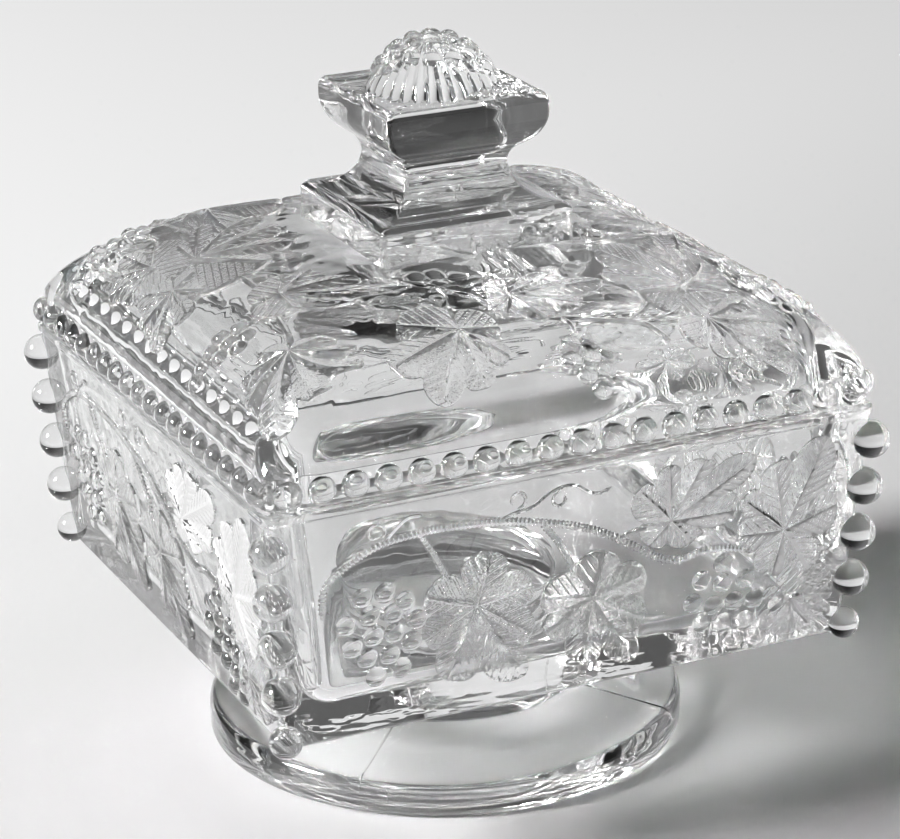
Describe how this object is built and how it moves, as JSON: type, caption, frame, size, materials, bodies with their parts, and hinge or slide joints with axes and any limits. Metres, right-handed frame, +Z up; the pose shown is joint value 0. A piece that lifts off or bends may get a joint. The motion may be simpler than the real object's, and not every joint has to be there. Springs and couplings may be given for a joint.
{
  "type": "covered honey dish",
  "caption": "Square footed dish of clear pressed glass with beaded corners, grapevine relief and a loose domed cover lifted by a square knob.",
  "frame": {"origin": "centre of the round foot, on the surface the dish stands on", "axes": "+Z up through the knob; the four panels of the dish face -Y, +X, +Y and -X"},
  "size_m": [0.1168, 0.1168, 0.1281],
  "materials": {
    "dish_glass": "clear fire-polished pressed glass",
    "cover_glass": "clear fire-polished pressed glass"
  },
  "bodies": {
    "dish": {"footed_dish": "dish_glass"},
    "cover": {"cover": "cover_glass"}
  },
  "joints": [
    {"name": "cover_lift", "type": "slide", "parent": "dish", "child": "cover", "axis": [0, 0, 1], "range_m": [0, 0.09]}
  ]
}
